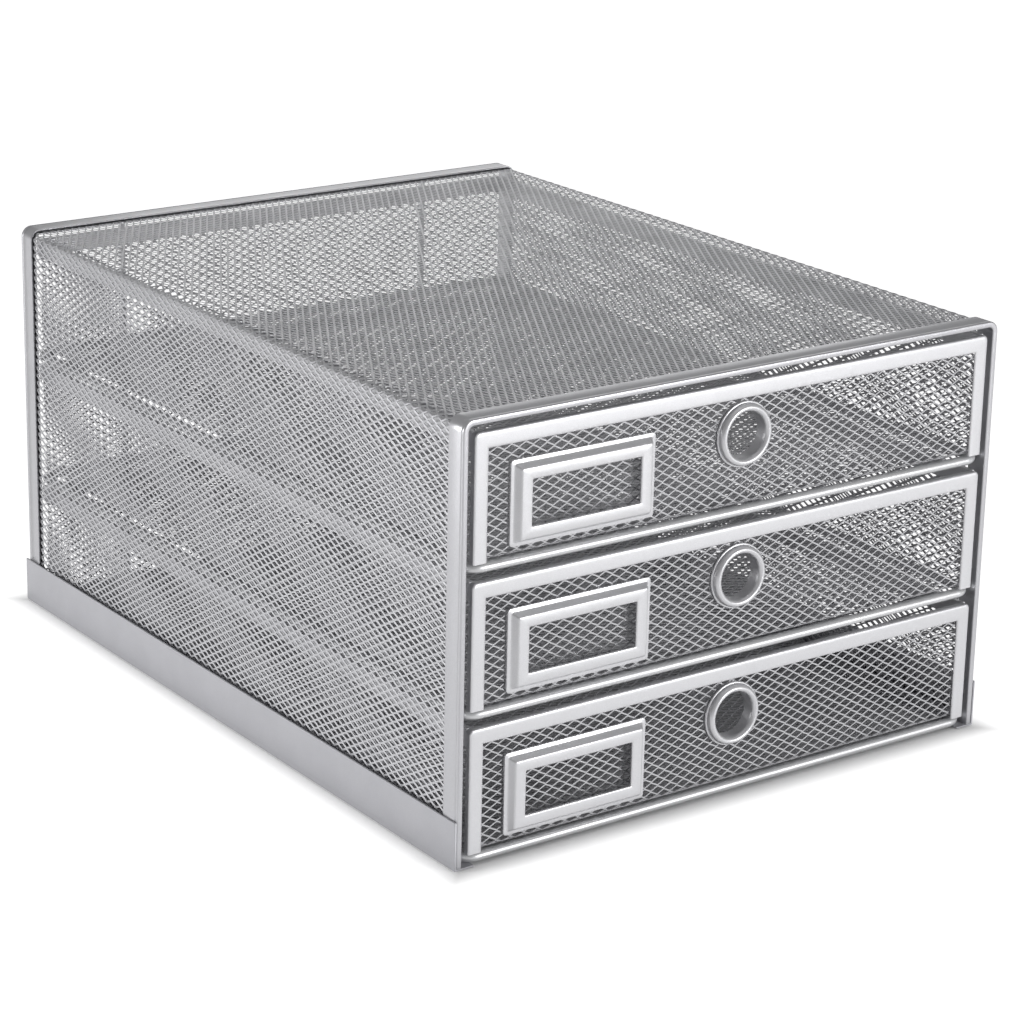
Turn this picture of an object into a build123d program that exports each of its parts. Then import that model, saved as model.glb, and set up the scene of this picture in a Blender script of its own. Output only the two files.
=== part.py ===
from build123d import *
import os
from math import hypot

os.makedirs("parts", exist_ok=True)

# A desktop cabinet of expanded-metal mesh with three drawers for sheets of paper and small parts.
# Millimetres. X runs left to right, Y from the front to the back, Z up from the standing surface.
# The origin is the middle of the whole cabinet's footprint, label holders included.

# ---------------------------------------------------------------- driving dimensions

# Whole cabinet
case_width = 252.0          # over the outer faces of the base rails
case_length = 330.0         # from the front plane to the rear ends of the base rails
case_height = 168.0         # from the standing surface to the top of the frames
levels = ("bottom", "middle", "top")

# Gaps
seat_gap = 0.1              # between pieces that are crimped or welded together
run_gap = 0.3               # between a drawer and the wires that it slides on
stop_gap = 0.6              # between a shut drawer and the rear rods
side_gap = 2.6              # from a drawer front to the posts beside it
head_gap = 2.8              # from a drawer's top edge to the wire or frame above it
rear_tuck = 5.0             # from the rear frame's front edge to a drawer's back, inside the frame

# Expanded-metal mesh, as measured on the real sheet
mesh_sheet = 0.8            # thickness
mesh_long = 5.65            # long way of one diamond
mesh_short = 3.33           # short way of one diamond
mesh_strand = 0.85          # width of one strand
large_step = 5              # a large net is drawn this many times coarser, as open as the real one
wall_step = 3               # the same for the front, back and sides of a drawer
net_border = 4.0            # plain edge of each net, held in its frame

# Base rails
rail_sheet = 0.8
rail_height = 19.0
rail_floor = 8.5            # width of the flange that the cabinet stands on

# Front and rear frames, folded round the edges of the mesh
frame_sheet = 0.7
frame_band = 9.0            # depth of the fold along the mesh
frame_lip = 1.0             # thickness of the rolled front edge
frame_radius = 4.5          # outer radius of the top corners
rear_inset = 1.5            # from the rear ends of the rails to the rear frame

# Wire shelves and rear rods
wire_size = 3.8
wire_bend = 6.0             # bend radius at the centre line
wire_setback = 0.5          # from the front plane to the front of the wire
rod_size = 3.0
rod_edge = 0.3              # chamfer of a rod's cut ends
rod_spacing = 156.0

# Drawer front
trim_sheet = 0.8
trim_side = 6.0             # width of the upright bars
trim_top = 6.3              # width of the top bar
trim_return = 2.5           # depth of the folded outer edge
trim_radius = 2.0

# Rim strip, folded over the upper edges of the drawer's walls
rim_sheet = 0.6
rim_height = 7.0
rim_inset = 0.2             # from the edge of the drawer front to the rim's outer face

# Label holder
holder_sheet = 0.8
holder_width = 63.6
holder_height = 32.0
holder_flange = 1.5
holder_slope = 2.0          # run of the slope from the flange to the raised border
holder_depth = 3.4          # from the mesh to the front of the raised border
holder_radius = 1.5
window_width = 47.8
window_height = 17.3
window_radius = 1.0
holder_x = -73.0
holder_drop = 28.3          # from the drawer's top edge to the holder's middle

# Finger ring
ring_outer = 25.2
ring_hole = 17.7
ring_flange = 0.6           # width of the fine outer step
ring_sheet = 0.7
ring_depth = 3.0            # from the mesh to the crest of the ring
ring_barrel = 2.8           # from the ring's seat to the rear end of its barrel
ring_drop = 20.0            # from the drawer's top edge to the ring's middle
washer_outer = 24.0

# ---------------------------------------------------------------- derived places

# Along Y
label_proud = holder_depth - trim_sheet
front_y = (label_proud - case_length) / 2
rear_y = front_y + case_length
rear_frame_y = rear_y - rear_inset
drawer_rear_y = rear_frame_y - frame_band + rear_tuck
rod_y = drawer_rear_y + stop_gap + rod_size / 2
wire_front_y = front_y + wire_setback + wire_size / 2
wire_rear_y = rod_y - rod_size / 2 - seat_gap - wire_size / 2
sheet_front_y = front_y + frame_lip + seat_gap
sheet_rear_y = rear_frame_y - frame_lip - seat_gap

# Across X, from the middle outwards
sheet_slot = mesh_sheet + 2 * seat_gap
frame_edge = 2 * frame_sheet + sheet_slot
post_half = case_width / 2 - rail_sheet - seat_gap
post_inner_half = post_half - frame_edge
sheet_half = post_half - frame_sheet - seat_gap
wire_half = post_inner_half - seat_gap - wire_size / 2
drawer_half = post_inner_half - side_gap
bend_x = post_half - frame_radius

# Up Z
foot_z = rail_sheet + seat_gap
frame_top_inner = case_height - frame_edge
sheet_top = case_height - frame_sheet - seat_gap
bend_z = case_height - frame_radius
sheet_bend = frame_radius - frame_sheet - seat_gap
level_pitch = (frame_top_inner - foot_z) / len(levels)
drawer_height = level_pitch - wire_size - run_gap - head_gap

# Inside a drawer
front_mesh_half = drawer_half - trim_sheet - seat_gap
front_mesh_y = front_y + trim_sheet + seat_gap
front_mesh_rear_y = front_mesh_y + mesh_sheet
rim_edge = 2 * rim_sheet + sheet_slot
rim_half = drawer_half - rim_inset
wall_half = rim_half - rim_sheet - seat_gap
wall_rear_y = drawer_rear_y - rim_sheet - seat_gap
wall_front_y = front_y + trim_return + seat_gap
ring_seat_y = front_mesh_y - seat_gap
barrel_radius = ring_hole / 2 + ring_sheet

# One opening of the coarse net, from the real diamond and strand
diamond_reach = mesh_long * mesh_short / (2 * hypot(mesh_long, mesh_short))
open_share = 1 - mesh_strand / (2 * diamond_reach)


# ---------------------------------------------------------------- helpers

def save(piece, name):
    """Label a finished piece and write it as one STEP file."""
    piece.label = name
    export_step(piece, f"parts/{name}.step")


def net_counts(width, height, step):
    """How many openings fit across and up a net of this size, inside its plain border."""
    across = int((width - 2 * net_border) // (step * mesh_long))
    up = int((height - 2 * net_border) // (step * mesh_short))
    return max(across, 1), max(up, 1)


def diamond_centres(across, up, step_x, step_y, hole):
    """Middles of the openings: two grids, the second half a step off the first.

    A hole is (x, y, radius), and no diamond is listed that would break into it.
    """
    centres = []
    for row in range(2 * up - 1):
        shift = row % 2
        for column in range(across - shift):
            x = (column + (shift + 1 - across) / 2) * step_x
            y = (row / 2 + (1 - up) / 2) * step_y
            if hole is None or hypot(x - hole[0], y - hole[1]) > hole[2] + step_x / 2:
                centres.append((x, y))
    return centres


def build_net(name, plane, width, height, step, corner=0, hole=None):
    """A flat net behind the plane, its diamonds' long way along the plane's X."""
    across, up = net_counts(width, height, step)
    step_x = (width - 2 * net_border) / across
    step_y = (height - 2 * net_border) / up
    half_x = step_x / 2 * open_share
    half_y = step_y / 2 * open_share
    openings = [Wire.make_polygon([(x + half_x, y), (x, y + half_y), (x - half_x, y), (x, y - half_y)])
                for x, y in diamond_centres(across, up, step_x, step_y, hole)]
    if hole is not None:
        openings.append(Wire.make_circle(hole[2], Plane(origin=(hole[0], hole[1], 0))))
    with BuildSketch() as outline:
        Rectangle(width, height)
        if corner:
            fillet(outline.vertices(), corner)
    with BuildPart() as net:
        with BuildSketch(plane):
            add(Face(outline.sketch.faces()[0].outer_wire(), openings))
        extrude(amount=-mesh_sheet)
    save(net.part, name)


def arch(half_width, top, radius):
    """A filled arch standing on the base rails' flanges, with round top corners."""
    with BuildSketch() as shape:
        with Locations((0, (top + foot_z) / 2)):
            Rectangle(2 * half_width, top - foot_z)
        fillet(shape.vertices().group_by(Axis.Y)[-1], radius)
    return shape.sketch


# ---------------------------------------------------------------- case: base rails

def build_base_rail(name, side):
    """One base rail: a tall outer leg and a flange under the posts, the mesh and the wire."""
    outer = side * case_width / 2
    with BuildPart() as rail:
        with BuildSketch(Plane.XZ.offset(-rear_y)):
            with BuildLine():
                Polyline((outer, 0), (outer, rail_height), (outer - side * rail_sheet, rail_height),
                         (outer - side * rail_sheet, rail_sheet),
                         (outer - side * rail_floor, rail_sheet), (outer - side * rail_floor, 0),
                         close=True)
            make_face()
        extrude(amount=case_length)
    save(rail.part, name)


build_base_rail("left_base_rail", -1)
build_base_rail("right_base_rail", 1)


# ---------------------------------------------------------------- case: front and rear frames

def build_frame(name, face_y, inward):
    """A strip folded round the edge of the mesh: rolled edge on face_y, two legs behind it."""
    inner_radius = max(frame_radius - frame_edge, frame_sheet)
    slot_inset = frame_sheet + sheet_slot
    outer = arch(post_half, case_height, frame_radius)
    inner = arch(post_inner_half, frame_top_inner, inner_radius)
    slot_outer = arch(post_half - frame_sheet, case_height - frame_sheet, frame_radius - frame_sheet)
    slot_inner = arch(post_half - slot_inset, case_height - slot_inset, inner_radius + frame_sheet)
    with BuildPart() as frame:
        with BuildSketch(Plane.XZ.offset(-face_y)):
            add(outer)
            add(inner, mode=Mode.SUBTRACT)
        extrude(amount=-inward * frame_band)
        with BuildSketch(Plane.XZ.offset(-face_y - inward * frame_lip)):
            add(slot_outer)
            add(slot_inner, mode=Mode.SUBTRACT)
        extrude(amount=-inward * frame_band, mode=Mode.SUBTRACT)
    save(frame.part, name)


build_frame("front_frame", front_y, 1)
build_frame("rear_frame", rear_frame_y, -1)


# ---------------------------------------------------------------- case: folded mesh sheet

sheet_length = sheet_rear_y - sheet_front_y
sheet_middle_y = (sheet_front_y + sheet_rear_y) / 2


def build_side_mesh(name, side):
    """The upright part of the folded sheet on one side, standing in its base rail."""
    height = bend_z - foot_z
    face = Plane(origin=(side * sheet_half, sheet_middle_y, foot_z + height / 2),
                 x_dir=(0, 1, 0), z_dir=(side, 0, 0))
    build_net(name, face, sheet_length, height, large_step)


def build_top_mesh():
    """The level part of the folded sheet, between the two bends."""
    face = Plane(origin=(0, sheet_middle_y, sheet_top), x_dir=(0, 1, 0), z_dir=(0, 0, 1))
    build_net("case_top_mesh", face, sheet_length, 2 * (bend_x - seat_gap), large_step)


def build_bend_mesh(name, side):
    """The round bend of the folded sheet, with one row of slots along it."""
    slot_count, _ = net_counts(sheet_length, sheet_bend, large_step)
    slot_step = (sheet_length - 2 * net_border) / slot_count
    slot_height = sheet_bend * open_share
    reach = 2 * sheet_bend
    diagonal = Plane(origin=(side * bend_x, sheet_middle_y, bend_z), x_dir=(0, 1, 0), z_dir=(side, 0, 1))
    with BuildPart() as mesh:
        with BuildSketch(Plane.XZ.offset(-sheet_rear_y)):
            with Locations((side * bend_x, bend_z)):
                Circle(sheet_bend)
                Circle(sheet_bend - mesh_sheet, mode=Mode.SUBTRACT)
            with Locations((side * (bend_x + reach / 2), bend_z + seat_gap + reach / 2)):
                Rectangle(reach, reach, mode=Mode.INTERSECT)
        extrude(amount=sheet_length)
        with BuildSketch(diagonal):
            with GridLocations(slot_step, slot_height, slot_count, 1):
                Rectangle(slot_step * open_share, slot_height)
        extrude(amount=reach, mode=Mode.SUBTRACT)
    save(mesh.part, name)


build_side_mesh("case_left_mesh", -1)
build_side_mesh("case_right_mesh", 1)
build_top_mesh()
build_bend_mesh("case_left_bend", -1)
build_bend_mesh("case_right_bend", 1)


# ---------------------------------------------------------------- case: wire shelves and rear rods

def level_z(level):
    """Underside of the wire shelf that carries the drawer on this level, counted from 0."""
    return foot_z + level * level_pitch


def build_wire_shelf(name, level):
    """A closed loop of round wire: the drawer stands on its front and rear bars."""
    corners = [(wire_half, wire_front_y), (wire_half, wire_rear_y),
               (-wire_half, wire_rear_y), (-wire_half, wire_front_y)]
    with BuildPart() as shelf:
        with BuildLine(Plane.XY.offset(level_z(level) + wire_size / 2)) as path:
            FilletPolyline(*corners, close=True, radius=wire_bend)
        with BuildSketch(Plane(origin=path.line @ 0, z_dir=path.line % 0)):
            Circle(wire_size / 2)
        sweep(path=path.wires()[0])
    save(shelf.part, name)


def build_rear_rod(name, side):
    """An upright rod behind the drawers, from the case's foot to the rear frame's top bar."""
    with BuildPart() as rod:
        with BuildSketch(Plane.XY.offset(foot_z)):
            with Locations((side * rod_spacing / 2, rod_y)):
                Circle(rod_size / 2)
        extrude(amount=frame_top_inner - seat_gap - foot_z)
        chamfer(rod.edges().filter_by(GeomType.CIRCLE), rod_edge)
    save(rod.part, name)


for shelf_level, level_name in enumerate(levels):
    build_wire_shelf(f"{level_name}_wire_shelf", shelf_level)
build_rear_rod("left_rear_rod", -1)
build_rear_rod("right_rear_rod", 1)


# ---------------------------------------------------------------- drawers

def build_front_trim(name, floor_z, top_z):
    """A pressed strip round the sides and the top of the drawer front, open at the bottom."""
    with BuildPart() as trim:
        with BuildSketch(Plane.XZ.offset(-front_y)) as outline:
            with Locations((0, (floor_z + top_z) / 2)):
                Rectangle(2 * drawer_half, top_z - floor_z)
            fillet(outline.vertices().group_by(Axis.Y)[-1], trim_radius)
        extrude(amount=-trim_return)
        with BuildSketch(Plane.XZ.offset(-front_y - trim_sheet)) as pocket:
            with Locations((0, (floor_z + top_z) / 2 - trim_sheet)):
                Rectangle(2 * (drawer_half - trim_sheet), top_z - floor_z)
            fillet(pocket.vertices().group_by(Axis.Y)[-1], trim_radius - trim_sheet)
        extrude(amount=-trim_return, mode=Mode.SUBTRACT)
        with BuildSketch(Plane.XZ.offset(-front_y)):
            with Locations((0, (floor_z + top_z) / 2 - trim_top)):
                Rectangle(2 * (drawer_half - trim_side), top_z - floor_z)
        extrude(amount=-trim_return, mode=Mode.SUBTRACT)
        chamfer(trim.faces().sort_by(Axis.Y)[0].edges(), trim_sheet / 4)
    save(trim.part, name)


def build_rim_strip(name, top_z):
    """A strip folded over the upper edges of the side and back walls."""
    length = drawer_rear_y - wall_front_y
    with BuildPart() as rim:
        with BuildSketch(Plane.XY.offset(top_z)):
            with Locations((0, wall_front_y + length / 2)):
                Rectangle(2 * rim_half, length)
            with Locations((0, wall_front_y + length / 2 - rim_edge)):
                Rectangle(2 * (rim_half - rim_edge), length, mode=Mode.SUBTRACT)
        extrude(amount=-rim_height)
        chamfer(rim.faces().sort_by(Axis.Z)[-1].edges(), rim_sheet / 3)
        with BuildSketch(Plane.XY.offset(top_z - rim_sheet)):
            with Locations((0, wall_front_y + length / 2 - rim_sheet)):
                Rectangle(2 * (rim_half - rim_sheet), length)
            with Locations((0, wall_front_y + length / 2 - rim_sheet - sheet_slot)):
                Rectangle(2 * (rim_half - rim_sheet - sheet_slot), length, mode=Mode.SUBTRACT)
        extrude(amount=-rim_height, mode=Mode.SUBTRACT)
    save(rim.part, name)


def build_drawer_nets(prefix, floor_z, top_z):
    """The five mesh walls of a drawer."""
    front_height = top_z - trim_sheet - seat_gap - floor_z
    front_middle = floor_z + front_height / 2
    ring_hole_place = (0, top_z - ring_drop - front_middle, barrel_radius + seat_gap)
    front_face = Plane(origin=(0, front_mesh_y, front_middle), x_dir=(1, 0, 0), z_dir=(0, -1, 0))
    build_net(f"{prefix}_front_mesh", front_face, 2 * front_mesh_half, front_height, wall_step,
              corner=trim_radius - trim_sheet, hole=ring_hole_place)

    length = wall_rear_y - wall_front_y
    middle_y = wall_front_y + length / 2
    floor_face = Plane(origin=(0, middle_y, floor_z), x_dir=(1, 0, 0), z_dir=(0, 0, -1))
    build_net(f"{prefix}_floor_mesh", floor_face, 2 * wall_half, length, large_step)

    foot = floor_z + mesh_sheet + seat_gap
    height = top_z - rim_sheet - seat_gap - foot
    middle_z = foot + height / 2
    for side_name, side in (("left", -1), ("right", 1)):
        side_face = Plane(origin=(side * wall_half, middle_y, middle_z), x_dir=(0, 1, 0),
                          z_dir=(side, 0, 0))
        build_net(f"{prefix}_{side_name}_mesh", side_face, length, height, wall_step)

    back_width = 2 * (wall_half - mesh_sheet - seat_gap)
    back_face = Plane(origin=(0, wall_rear_y, middle_z), x_dir=(1, 0, 0), z_dir=(0, 1, 0))
    build_net(f"{prefix}_back_mesh", back_face, back_width, height, wall_step)


def build_label_holder(name, top_z):
    """A pressed sheet frame for a paper label: flange, slope, raised border and window."""
    seat = Plane(origin=(holder_x, ring_seat_y, top_z - holder_drop), x_dir=(1, 0, 0), z_dir=(0, -1, 0))
    rise = holder_depth - holder_sheet
    foot_inset = 2 * holder_flange
    crest_inset = 2 * (holder_flange + holder_slope)
    foot_radius = max(holder_radius - holder_flange, holder_sheet)
    pocket_wall = 2 * holder_sheet
    with BuildPart() as holder:
        with BuildSketch(seat):
            RectangleRounded(holder_width, holder_height, holder_radius)
        extrude(amount=holder_sheet)
        with BuildSketch(seat.offset(holder_sheet)):
            RectangleRounded(holder_width - foot_inset, holder_height - foot_inset, foot_radius)
        with BuildSketch(seat.offset(holder_depth)):
            RectangleRounded(holder_width - crest_inset, holder_height - crest_inset, foot_radius)
        loft()
        with BuildSketch(seat):
            RectangleRounded(holder_width - foot_inset - pocket_wall,
                             holder_height - foot_inset - pocket_wall, foot_radius)
        with BuildSketch(seat.offset(rise)):
            RectangleRounded(holder_width - crest_inset - pocket_wall,
                             holder_height - crest_inset - pocket_wall, foot_radius)
        loft(mode=Mode.SUBTRACT)
        with BuildSketch(seat):
            RectangleRounded(window_width, window_height, window_radius)
        extrude(amount=holder_depth, mode=Mode.SUBTRACT)
    save(holder.part, name)


def build_finger_ring(name, top_z):
    """A rolled ring round the finger hole, with a barrel through the mesh."""
    inner = ring_hole / 2
    crest = ring_outer / 2 - ring_flange
    tube_middle = (inner + crest) / 2
    axis_z = top_z - ring_drop
    place = Plane(origin=(0, ring_seat_y, axis_z), x_dir=(1, 0, 0), z_dir=(0, 0, 1))
    with BuildPart() as ring:
        with BuildSketch(place):
            with BuildLine():
                Polyline((inner, -ring_sheet), (inner, ring_barrel), (barrel_radius, ring_barrel),
                         (barrel_radius, 0), (ring_outer / 2, 0), (ring_outer / 2, -ring_sheet),
                         (crest, -ring_sheet))
                ThreePointArc((crest, -ring_sheet), (tube_middle, -ring_depth), (inner, -ring_sheet))
            make_face()
        revolve(axis=Axis((0, ring_seat_y, axis_z), (0, 1, 0)))
    save(ring.part, name)


def build_ring_washer(name, top_z):
    """The backing washer that the barrel of the finger ring is rolled into."""
    with BuildPart() as washer:
        with BuildSketch(Plane.XZ.offset(-front_mesh_rear_y - seat_gap)):
            with Locations((0, top_z - ring_drop)):
                Circle(washer_outer / 2)
                Circle(barrel_radius + seat_gap, mode=Mode.SUBTRACT)
        extrude(amount=-ring_sheet)
    save(washer.part, name)


def build_drawer(prefix, level):
    """All the pieces of the drawer on one level."""
    floor_z = level_z(level) + wire_size + run_gap
    top_z = floor_z + drawer_height
    build_drawer_nets(prefix, floor_z, top_z)
    build_front_trim(f"{prefix}_front_trim", floor_z, top_z)
    build_rim_strip(f"{prefix}_rim_strip", top_z)
    build_label_holder(f"{prefix}_label_holder", top_z)
    build_finger_ring(f"{prefix}_finger_ring", top_z)
    build_ring_washer(f"{prefix}_ring_washer", top_z)


for drawer_level, level_name in enumerate(levels):
    build_drawer(f"{level_name}_drawer", drawer_level)
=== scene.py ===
import logging
import math
from dataclasses import dataclass
from enum import Enum
from typing import Callable, Sequence, Union

import bmesh
import bpy
import numpy as np
from mathutils import Euler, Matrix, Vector


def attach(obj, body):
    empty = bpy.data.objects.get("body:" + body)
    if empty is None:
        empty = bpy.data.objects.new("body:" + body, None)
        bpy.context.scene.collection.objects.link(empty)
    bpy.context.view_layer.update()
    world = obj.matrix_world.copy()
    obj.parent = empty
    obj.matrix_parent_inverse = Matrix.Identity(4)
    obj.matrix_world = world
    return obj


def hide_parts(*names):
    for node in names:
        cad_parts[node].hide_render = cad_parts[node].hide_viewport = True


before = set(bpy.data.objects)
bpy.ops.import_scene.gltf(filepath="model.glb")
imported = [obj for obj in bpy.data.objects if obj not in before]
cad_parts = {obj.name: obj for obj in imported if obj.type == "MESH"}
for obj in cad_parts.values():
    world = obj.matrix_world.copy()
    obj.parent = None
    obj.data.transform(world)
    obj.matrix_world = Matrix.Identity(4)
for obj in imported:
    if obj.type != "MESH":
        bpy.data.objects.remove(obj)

LOG = logging.getLogger("drawer_unit")
MM = 0.001
LEVELS = ("bottom", "middle", "top")
Point = tuple[float, float, float]
Color = tuple[float, float, float]
Socket = bpy.types.NodeSocket
Feed = Union[bpy.types.NodeSocket, float, Sequence[float]]


# ---------------------------------------------------------------- node trees

class NodeBench:
    """Adds nodes to one tree and wires them up."""

    def __init__(self, tree: bpy.types.NodeTree) -> None:
        """Keeps the tree.

        Args:
            tree: The shader or Geometry Nodes tree to work on.
        """
        self.tree = tree

    def add(self, kind: str) -> bpy.types.Node:
        """Adds one node of a Blender type and returns it."""
        return self.tree.nodes.new(kind)

    def feed(self, target: Socket, value: Feed) -> None:
        """Fills an input socket.

        Args:
            target: The input socket.
            value: The output socket to link to it, or the constant to set on it.
        """
        if isinstance(value, bpy.types.NodeSocket):
            self.tree.links.new(value, target)
        else:
            target.default_value = value

    def wired(self, kind: str, *values: Feed) -> bpy.types.Node:
        """Adds one node, fills its first inputs in order and returns it."""
        node = self.add(kind)
        for socket, value in zip(node.inputs, values):
            self.feed(socket, value)
        return node

    def calc(self, operation: str, first: Feed, second: Feed = 0.0) -> Socket:
        """Adds a Math node and returns its value."""
        node = self.wired("ShaderNodeMath", first, second)
        node.operation = operation
        return node.outputs[0]

    def vector_calc(self, operation: str, first: Feed, second: Feed = (0.0, 0.0, 0.0)) -> Socket:
        """Adds a Vector Math node and returns its vector."""
        node = self.wired("ShaderNodeVectorMath", first, second)
        node.operation = operation
        return node.outputs[0]

    def vector(self, x: Feed, y: Feed, z: Feed) -> Socket:
        """Adds a Combine XYZ node and returns its vector."""
        return self.wired("ShaderNodeCombineXYZ", x, y, z).outputs[0]

    def split(self, value: Socket) -> bpy.types.bpy_prop_collection:
        """Adds a Separate XYZ node and returns its outputs."""
        return self.wired("ShaderNodeSeparateXYZ", value).outputs

    def noise(self, place: Socket, scale: float, detail: float) -> Socket:
        """Adds a noise texture on a place and returns its factor."""
        node = self.add("ShaderNodeTexNoise")
        for name, value in (("Vector", place), ("Scale", scale), ("Detail", detail)):
            self.feed(node.inputs[name], value)
        return node.outputs["Fac"]

    def spread(self, value: Socket, source: tuple[float, float], target: tuple[float, float],
               kind: str = "LINEAR") -> Socket:
        """Maps a value from one range to another, clamped.

        Args:
            value: The value to map.
            source: Its lowest and highest number.
            target: The numbers that these become.
            kind: Interpolation between them.

        Returns:
            The mapped value.
        """
        node = self.add("ShaderNodeMapRange")
        node.interpolation_type = kind
        for name, number in zip(("Value", "From Min", "From Max", "To Min", "To Max"), (value, *source, *target)):
            self.feed(node.inputs[name], number)
        return node.outputs["Result"]

    def mix_color(self, blend: str, factor: Feed, first: Feed, second: Feed) -> Socket:
        """Adds a Mix node on colours and returns its result."""
        node = self.add("ShaderNodeMix")
        node.data_type = "RGBA"
        node.blend_type = blend
        for name, value in (("Factor", factor), ("A", first), ("B", second)):
            self.feed(node.inputs[name], value)
        return node.outputs["Result"]

    def mix_shader(self, factor: Feed, first: Socket, second: Socket) -> Socket:
        """Adds a Mix Shader node and returns its shader."""
        return self.wired("ShaderNodeMixShader", factor, first, second).outputs[0]

    def bump(self, height: Socket, strength: float, distance: float) -> bpy.types.Node:
        """Adds a bump node over a height and returns it."""
        node = self.add("ShaderNodeBump")
        for name, value in (("Strength", strength), ("Distance", distance), ("Height", height)):
            self.feed(node.inputs[name], value)
        return node


def emptied_bench(owner: Union[bpy.types.Material, bpy.types.World]) -> NodeBench:
    """Empties the node tree of a material or a world and returns a bench on it."""
    owner.use_nodes = True
    owner.node_tree.nodes.clear()
    return NodeBench(owner.node_tree)


# ---------------------------------------------------------------- finishes

MOTTLE_SCALE, FLAKE_SCALE, PEEL_SCALE = 60.0, 5200.0, 900.0
FLAKE_DEPTH, PEEL_DEPTH = 0.00002, 0.00008
PAINT_IOR = 1.5
THIN_COAT_ROUGHNESS = 0.08


@dataclass(frozen=True)
class SilverPaint:
    """Satin silver paint on steel: fine metal flake, soft mottling and a faint orange peel.

    Args:
        slot: The material slot that this finish belongs to; its material is named after it.
        color: Linear colour of the paint where it is clean.
        shade: Linear colour where the coat is thin or dusty.
        metallic: Share of the light that the flake mirrors.
        roughness: Smallest roughness of the coat.
        flake: Bump strength of the metal flake.
        peel: Bump strength of the orange peel.
    """

    slot: str
    color: Color
    shade: Color
    metallic: float
    roughness: float
    flake: float
    peel: float

    def material(self) -> bpy.types.Material:
        """Builds the node material.

        Returns:
            The new material, named after the slot.
        """
        material = bpy.data.materials.new(f"silver_{self.slot}")
        bench = emptied_bench(material)
        place = bench.add("ShaderNodeTexCoord").outputs["Object"]
        mottle = bench.noise(place, MOTTLE_SCALE, 5.0)
        flakes = bench.noise(place, FLAKE_SCALE, 1.0)
        peel = bench.noise(place, PEEL_SCALE, 2.0)

        tone = bench.mix_color("MIX", bench.spread(mottle, (0.34, 0.62), (0.0, 1.0)),
                               (*self.shade, 1.0), (*self.color, 1.0))
        sparkle = bench.mix_color("MULTIPLY", 1.0, tone, bench.spread(flakes, (0.3, 0.7), (0.9, 1.06)))
        coat = bench.spread(mottle, (0.3, 0.7), (self.roughness + THIN_COAT_ROUGHNESS, self.roughness))
        coarse = bench.bump(peel, self.peel, PEEL_DEPTH)
        fine = bench.bump(flakes, self.flake, FLAKE_DEPTH)
        bench.feed(fine.inputs["Normal"], coarse.outputs["Normal"])

        shader = bench.add("ShaderNodeBsdfPrincipled")
        for name, value in (("Base Color", sparkle), ("Metallic", self.metallic), ("IOR", PAINT_IOR),
                            ("Roughness", coat), ("Normal", fine.outputs["Normal"])):
            bench.feed(shader.inputs[name], value)
        output = bench.add("ShaderNodeOutputMaterial")
        bench.feed(output.inputs["Surface"], shader.outputs["BSDF"])
        return material


class Finish(Enum):
    """The finishes of the cabinet, one for each material slot."""

    MESH = SilverPaint("expanded_mesh", (0.57, 0.57, 0.59), (0.52, 0.52, 0.54), 0.6, 0.36, 0.25, 0.3)
    FRAME = SilverPaint("frame_paint", (0.50, 0.50, 0.52), (0.48, 0.48, 0.50), 0.75, 0.28, 0.2, 0.25)
    BASE = SilverPaint("base_paint", (0.56, 0.56, 0.59), (0.54, 0.54, 0.57), 0.4, 0.44, 0.2, 0.3)
    TRIM = SilverPaint("pressed_trim", (0.68, 0.68, 0.70), (0.655, 0.655, 0.675), 0.55, 0.34, 0.15, 0.18)
    WIRE = SilverPaint("bright_wire", (0.70, 0.705, 0.715), (0.66, 0.665, 0.68), 0.5, 0.36, 0.1, 0.12)


class Palette:
    """Builds each finish once and hands it out."""

    def __init__(self) -> None:
        """Builds the material of every finish."""
        self._materials = {finish: finish.value.material() for finish in Finish}

    def material(self, finish: Finish) -> bpy.types.Material:
        """Returns the material of a finish."""
        return self._materials[finish]

    def dress(self, node: str, finish: Finish) -> None:
        """Gives a carried-over CAD node its finish through its material slots.

        Args:
            node: Name of the CAD node.
            finish: Finish that it takes.
        """
        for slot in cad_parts[node].material_slots:
            slot.material = self._materials[finish]
        LOG.info("dressed %s as %s", node, finish.name)


# ---------------------------------------------------------------- mesh helpers

def place_piece(name: str, mesh: bpy.types.Mesh, body: str, finish: Finish, palette: Palette,
                nodes: Sequence[str]) -> bpy.types.Object:
    """Makes a finished mesh a piece of the part.

    Args:
        name: Name of the piece.
        mesh: Its mesh, in metres and in place.
        body: The CAD body that it rides on.
        finish: Its finish.
        palette: The finishes that are built already.
        nodes: The CAD nodes that it stands for.

    Returns:
        The new object.
    """
    piece = bpy.data.objects.new(name, mesh)
    bpy.context.scene.collection.objects.link(piece)
    mesh.materials.clear()
    mesh.materials.append(palette.material(finish))
    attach(piece, body)
    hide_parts(*nodes)
    LOG.info("built %s with %d faces on %s", name, len(mesh.polygons), body)
    return piece


def solid_mesh(name: str, vertices: Sequence[Point], faces: Sequence[Sequence[int]],
               sharp_angle: float = 38.0) -> bpy.types.Mesh:
    """Turns points in millimetres and faces into one closed, smooth-shaded mesh.

    Args:
        name: Name of the mesh.
        vertices: Points in millimetres.
        faces: Point numbers of each face.
        sharp_angle: Edges above this angle, in degrees, stay sharp.

    Returns:
        The mesh in metres, with its faces turned outwards.
    """
    mesh = bpy.data.meshes.new(name)
    mesh.from_pydata([tuple(value * MM for value in point) for point in vertices], [], faces)
    work = bmesh.new()
    work.from_mesh(mesh)
    bmesh.ops.remove_doubles(work, verts=work.verts, dist=1e-6)
    bmesh.ops.recalc_face_normals(work, faces=work.faces)
    work.to_mesh(mesh)
    work.free()
    mesh.shade_smooth()
    mesh.set_sharp_from_angle(angle=math.radians(sharp_angle))
    return mesh


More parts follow.
